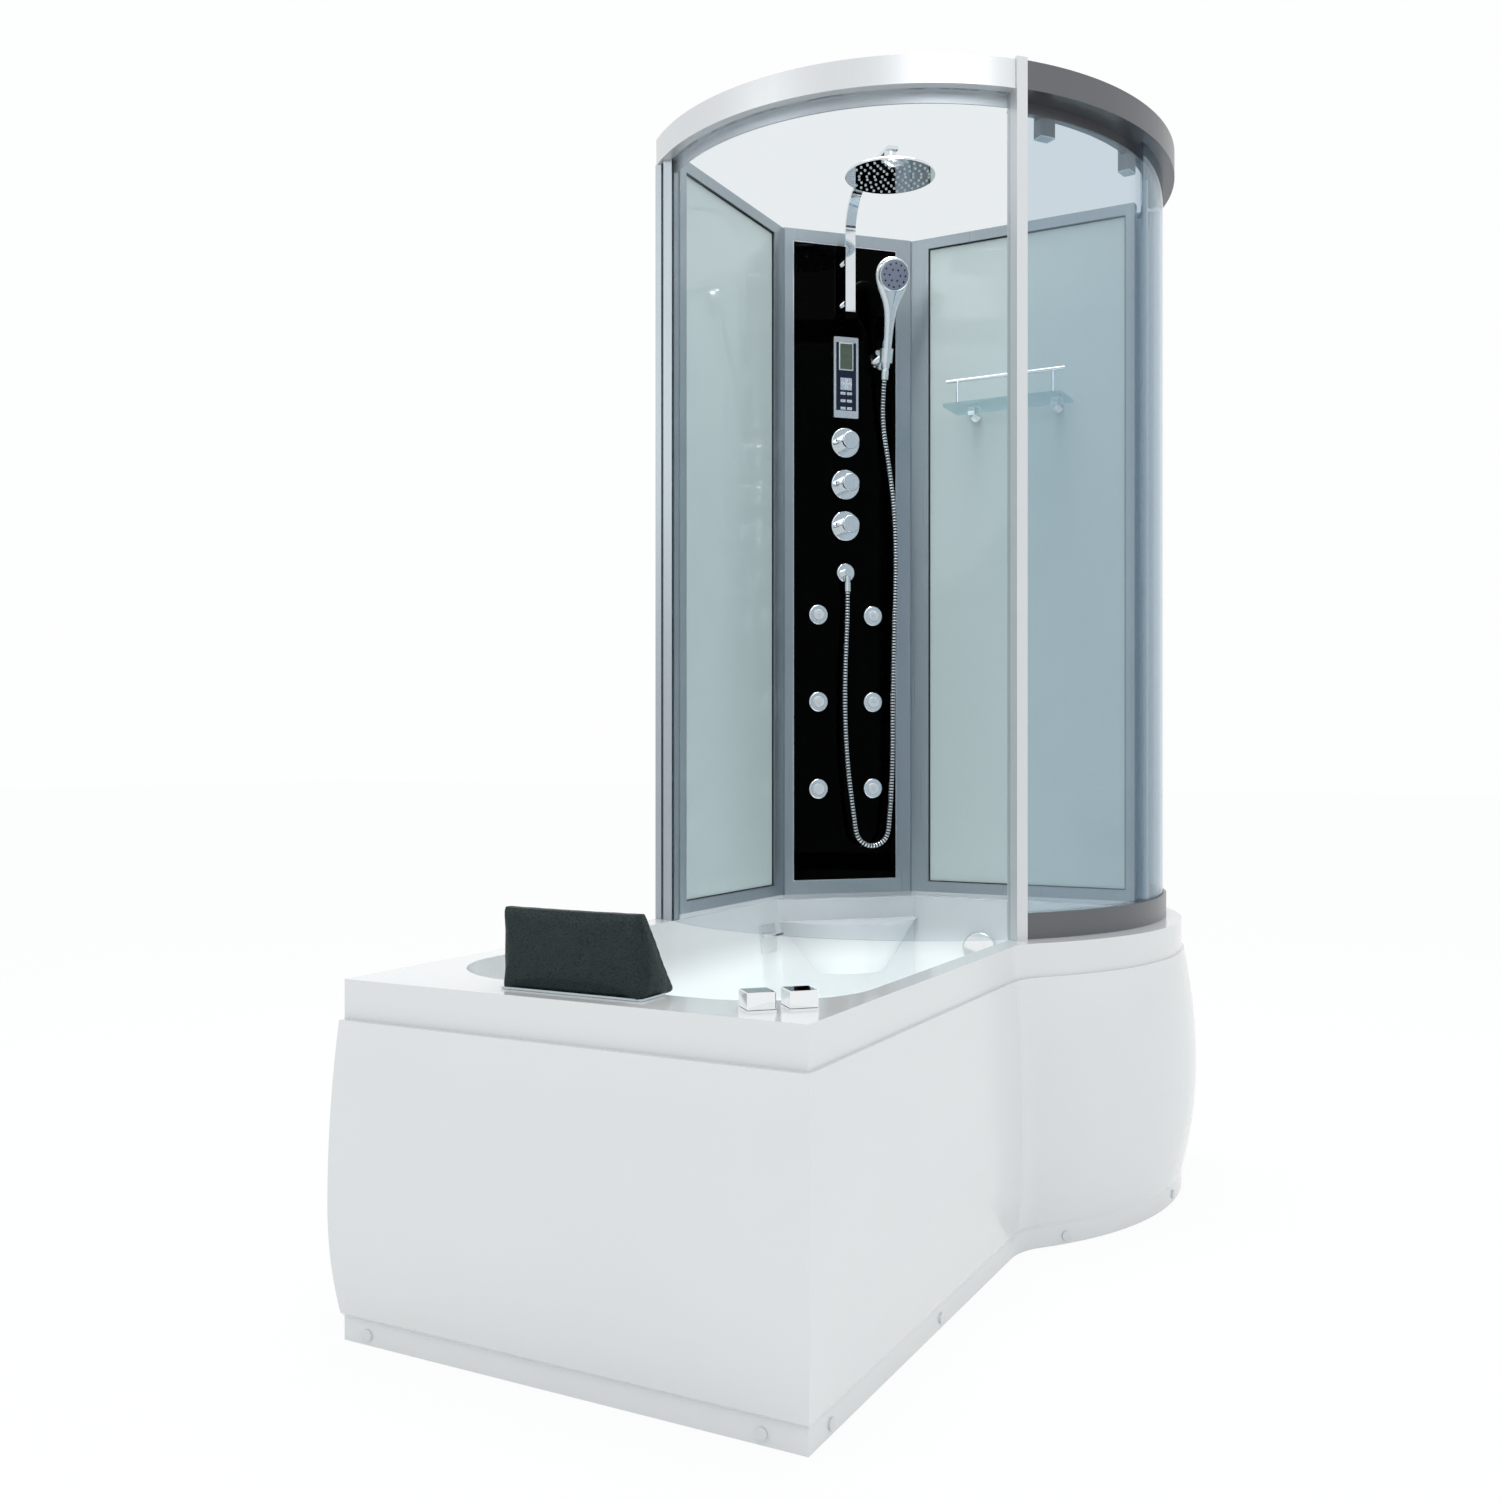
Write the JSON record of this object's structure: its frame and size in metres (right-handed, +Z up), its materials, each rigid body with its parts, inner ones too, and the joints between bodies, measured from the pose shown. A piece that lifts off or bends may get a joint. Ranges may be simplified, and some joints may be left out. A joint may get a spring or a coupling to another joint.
{
  "type": "jetted bath with shower cabin",
  "caption": "Bath with bulged aprons, head pillow and whirl jets, under an open-topped curved glass shower cabin with a corner column, rain head, handset and body jets.",
  "frame": {"origin": "middle of the footprint's bounding box, on the floor", "axes": "+X along the bath from the pillow end to the cabin end, +Y from the front rim to the wall behind, +Z up"},
  "size_m": [1.737, 1.0139, 2.256],
  "materials": {
    "white_acrylic": "gloss",
    "cap_plastic": "gloss",
    "galvanised_steel": "satin",
    "black_rubber": "matt",
    "dark_leather": "satin",
    "chrome": "polished",
    "pump_plastic": "matt",
    "grey_aluminium": "satin",
    "light_aluminium": "satin",
    "dark_aluminium": "satin",
    "wall_glass": "gloss",
    "black_glass": "gloss",
    "clear_glass": "gloss",
    "clear_trim": "gloss",
    "white_plastic": "matt",
    "brass": "satin",
    "hose_metal": "polished",
    "panel_navy": "gloss",
    "display": "gloss",
    "key_white": "gloss"
  },
  "bodies": {
    "root": {"apron_screw_caps": "cap_plastic", "bath_shell": "white_acrylic", "bath_spout": "chrome", "column_escutcheons": "chrome", "column_frame": "grey_aluminium", "column_glass": "black_glass", "control_panel": "panel_navy", "display_window": "display", "door_bottom_rail": "dark_aluminium", "door_top_rail": "dark_aluminium", "end_apron": "white_acrylic", "fixed_glass": "clear_glass", "front_post": "light_aluminium", "handset_holder": "chrome", "head_pillow": "dark_leather", "hose_outlet": "chrome", "left_wall_frame": "grey_aluminium", "left_wall_glass": "wall_glass", "levelling_feet": "black_rubber", "right_wall_frame": "grey_aluminium", "right_wall_glass": "wall_glass", "screen_glass": "clear_glass", "screen_top_rail": "light_aluminium", "shelf_glass": "clear_glass", "shelf_rail": "chrome", "shower_arm": "chrome", "shower_hose": "hose_metal", "side_apron": "white_acrylic", "support_frame": "galvanised_steel", "tap_bases": "chrome", "valve_block": "brass", "waste_set": "chrome", "whirl_jets": "chrome", "whirl_pump": "pump_plastic"},
    "door": {"door_glass": "clear_glass", "door_trims": "clear_trim"},
    "roller_left": {"roller_left": "white_plastic"},
    "roller_right": {"roller_right": "white_plastic"},
    "hot_tap_knob": {"hot_tap_knob": "chrome"},
    "cold_tap_knob": {"cold_tap_knob": "chrome"},
    "overflow_knob": {"overflow_knob": "chrome"},
    "drain_plug": {"drain_plug": "chrome"},
    "thermostat_knob": {"thermostat_knob": "chrome"},
    "diverter_knob": {"diverter_knob": "chrome"},
    "flow_knob": {"flow_knob": "chrome"},
    "nozzle_left_1": {"nozzle_left_1": "chrome"},
    "nozzle_right_1": {"nozzle_right_1": "chrome"},
    "nozzle_left_2": {"nozzle_left_2": "chrome"},
    "nozzle_right_2": {"nozzle_right_2": "chrome"},
    "nozzle_left_3": {"nozzle_left_3": "chrome"},
    "nozzle_right_3": {"nozzle_right_3": "chrome"},
    "arrow_pad": {"arrow_pad": "key_white"},
    "key_light": {"key_light": "key_white"},
    "key_radio": {"key_radio": "key_white"},
    "key_fan": {"key_fan": "key_white"},
    "key_lamp": {"key_lamp": "key_white"},
    "key_massage": {"key_massage": "key_white"},
    "key_power": {"key_power": "key_white"},
    "rain_head": {"rain_head": "chrome"},
    "handset": {"handset": "chrome"}
  },
  "joints": [
    {"name": "door_slide", "type": "hinge", "parent": "root", "child": "door", "pos_m": [0.5335, 0.178, 0.56], "axis": [0, 0, 1], "range_deg": [0, 33]},
    {"name": "roller_left_spin", "type": "hinge", "parent": "door", "child": "roller_left", "pos_m": [0.19727, -0.29337, 2.13515], "axis": [0.5807, 0.8141, 0], "range_deg": [0, 2394]},
    {"name": "roller_right_spin", "type": "hinge", "parent": "door", "child": "roller_right", "pos_m": [0.43296, -0.3922, 2.13515], "axis": [0.1736, 0.9848, 0], "range_deg": [0, 2394]},
    {"name": "hot_tap_turn", "type": "hinge", "parent": "root", "child": "hot_tap_knob", "pos_m": [-0.7805, -0.191, 0.57], "axis": [0, 0, 1], "range_deg": [0, 90]},
    {"name": "cold_tap_turn", "type": "hinge", "parent": "root", "child": "cold_tap_knob", "pos_m": [-0.7395, -0.235, 0.57], "axis": [0, 0, 1], "range_deg": [0, 90]},
    {"name": "overflow_turn", "type": "hinge", "parent": "root", "child": "overflow_knob", "pos_m": [0.77413, 0.033, 0.443], "axis": [-0.9925, 0, 0.1219], "range_deg": [0, 120]},
    {"name": "plug_lift", "type": "slide", "parent": "root", "child": "drain_plug", "axis": [0, 0, 1], "range_m": [0, 0.012]},
    {"name": "thermostat_turn", "type": "hinge", "parent": "root", "child": "thermostat_knob", "pos_m": [0.686, 0.3455, 1.657], "axis": [-0.7071, -0.7071, 0], "range_deg": [-110, 110]},
    {"name": "diverter_turn", "type": "hinge", "parent": "root", "child": "diverter_knob", "pos_m": [0.686, 0.3455, 1.556], "axis": [-0.7071, -0.7071, 0], "range_deg": [-90, 90]},
    {"name": "flow_turn", "type": "hinge", "parent": "root", "child": "flow_knob", "pos_m": [0.686, 0.3455, 1.456], "axis": [-0.7071, -0.7071, 0], "range_deg": [0, 90]},
    {"name": "nozzle_left_1_tilt", "type": "hinge", "parent": "root", "child": "nozzle_left_1", "pos_m": [0.63474, 0.39323, 1.24], "axis": [0.7071, -0.7071, 0], "range_deg": [-15, 15]},
    {"name": "nozzle_right_1_tilt", "type": "hinge", "parent": "root", "child": "nozzle_right_1", "pos_m": [0.73373, 0.29424, 1.24], "axis": [0.7071, -0.7071, 0], "range_deg": [-15, 15]},
    {"name": "nozzle_left_2_tilt", "type": "hinge", "parent": "root", "child": "nozzle_left_2", "pos_m": [0.63474, 0.39323, 1.031], "axis": [0.7071, -0.7071, 0], "range_deg": [-15, 15]},
    {"name": "nozzle_right_2_tilt", "type": "hinge", "parent": "root", "child": "nozzle_right_2", "pos_m": [0.73373, 0.29424, 1.031], "axis": [0.7071, -0.7071, 0], "range_deg": [-15, 15]},
    {"name": "nozzle_left_3_tilt", "type": "hinge", "parent": "root", "child": "nozzle_left_3", "pos_m": [0.63474, 0.39323, 0.822], "axis": [0.7071, -0.7071, 0], "range_deg": [-15, 15]},
    {"name": "nozzle_right_3_tilt", "type": "hinge", "parent": "root", "child": "nozzle_right_3", "pos_m": [0.73373, 0.29424, 0.822], "axis": [0.7071, -0.7071, 0], "range_deg": [-15, 15]},
    {"name": "arrow_pad_press", "type": "slide", "parent": "root", "child": "arrow_pad", "axis": [0.7071, 0.7071, 0], "range_m": [0, 0.0008], "stiffness_N_per_m": 1500},
    {"name": "key_light_press", "type": "slide", "parent": "root", "child": "key_light", "axis": [0.7071, 0.7071, 0], "range_m": [0, 0.0008], "stiffness_N_per_m": 1500},
    {"name": "key_radio_press", "type": "slide", "parent": "root", "child": "key_radio", "axis": [0.7071, 0.7071, 0], "range_m": [0, 0.0008], "stiffness_N_per_m": 1500},
    {"name": "key_fan_press", "type": "slide", "parent": "root", "child": "key_fan", "axis": [0.7071, 0.7071, 0], "range_m": [0, 0.0008], "stiffness_N_per_m": 1500},
    {"name": "key_lamp_press", "type": "slide", "parent": "root", "child": "key_lamp", "axis": [0.7071, 0.7071, 0], "range_m": [0, 0.0008], "stiffness_N_per_m": 1500},
    {"name": "key_massage_press", "type": "slide", "parent": "root", "child": "key_massage", "axis": [0.7071, 0.7071, 0], "range_m": [0, 0.0008], "stiffness_N_per_m": 1500},
    {"name": "key_power_press", "type": "slide", "parent": "root", "child": "key_power", "axis": [0.7071, 0.7071, 0], "range_m": [0, 0.0008], "stiffness_N_per_m": 1500},
    {"name": "rain_head_tilt", "type": "hinge", "parent": "root", "child": "rain_head", "pos_m": [0.48306, 0.14256, 2.222], "axis": [0.7071, -0.7071, 0], "range_deg": [-12, 12]},
    {"name": "handset_lift", "type": "slide", "parent": "root", "child": "handset", "axis": [-0.1555, -0.1555, 0.9755], "range_m": [0, 0.045], "deforming": ["shower_hose"]}
  ],
  "couplings": [
    {"joint": "roller_left_spin", "follows": "door_slide", "ratio": 72.375},
    {"joint": "roller_right_spin", "follows": "door_slide", "ratio": 72.375},
    {"joint": "plug_lift", "follows": "overflow_turn", "m_per_rad": 0.0057296}
  ]
}
